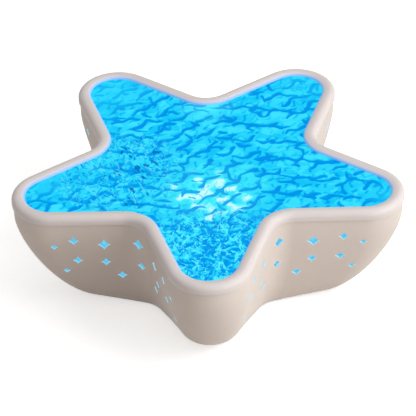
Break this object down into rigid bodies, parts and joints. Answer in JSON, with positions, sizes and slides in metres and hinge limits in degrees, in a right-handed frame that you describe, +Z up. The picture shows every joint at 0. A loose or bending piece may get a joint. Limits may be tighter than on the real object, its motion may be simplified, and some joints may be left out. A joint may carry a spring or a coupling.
{
  "type": "night light projector",
  "caption": "Star-shaped table night light: a pierced bowl housing with a rounded rim, a lit rippled lens on top and a motor-turned ripple disc inside.",
  "frame": {"origin": "on the table under the centre of the star, in the plane of the ring foot", "axes": "+Z up through the lens; -Y along the front arm of the star; +X to the right seen from the front"},
  "size_m": [0.1728, 0.1663, 0.0557],
  "materials": {
    "shell": "matte moulded",
    "rim": "matte moulded",
    "lens": "clear rippled, lit",
    "liner": "translucent, lit",
    "cover": "matte moulded",
    "foot": "matte",
    "screw": "zinc plated",
    "white": "matte",
    "slip": "smooth",
    "spring": "oiled",
    "optic": "clear",
    "lamp_board": "white solder mask",
    "chip": "phosphor",
    "sink": "bare",
    "motor": "plated can",
    "board": "solder mask",
    "black": "matte",
    "can": "sleeved",
    "socket": "matte",
    "inlet": "tinned",
    "red_wire": "sleeved",
    "black_wire": "sleeved",
    "gear": "acetal",
    "optic_disc": "clear rippled",
    "pinion": "acetal",
    "button": "matte"
  },
  "bodies": {
    "housing": {"lower_shell": "shell", "top_bezel": "rim", "wave_lens": "lens", "glow_liner": "liner", "base_cover": "cover", "ring_foot": "foot", "base_screws": "screw", "deck_plate": "white", "deck_screws": "screw", "light_tube": "white", "tube_screws": "screw", "thrust_washer": "slip", "retaining_clip": "spring", "condenser_lens": "optic", "lamp_board": "lamp_board", "lamp_chips": "chip", "lamp_screws": "screw", "heat_sink": "sink", "drive_motor": "motor", "motor_screws": "screw", "control_board": "board", "control_chip": "black", "capacitors": "can", "lead_sockets": "socket", "power_inlet": "inlet", "push_switches": "black", "lamp_lead": "red_wire", "motor_lead": "black_wire"},
    "wave_disc": {"drive_ring": "gear", "ripple_disc": "optic_disc"},
    "drive_pinion": {"motor_shaft": "screw", "pinion": "pinion"},
    "power_key": {"power_button": "button", "power_stem": "black"},
    "mode_key": {"mode_button": "button", "mode_stem": "black"}
  },
  "joints": [
    {"name": "disc_spin", "type": "hinge", "parent": "housing", "child": "wave_disc", "pos_m": [0, 0, 0.04], "axis": [0, 0, 1], "continuous": true},
    {"name": "pinion_spin", "type": "hinge", "parent": "housing", "child": "drive_pinion", "pos_m": [0, -0.02525, 0.03], "axis": [0, 0, 1], "continuous": true},
    {"name": "power_press", "type": "slide", "parent": "housing", "child": "power_key", "axis": [0, -1, 0], "range_m": [0, 0.0008], "stiffness_N_per_m": 300, "springref_m": -0.001},
    {"name": "mode_press", "type": "slide", "parent": "housing", "child": "mode_key", "axis": [0, -1, 0], "range_m": [0, 0.0008], "stiffness_N_per_m": 300, "springref_m": -0.001}
  ],
  "couplings": [
    {"joint": "pinion_spin", "follows": "disc_spin", "ratio": -3.6667}
  ]
}
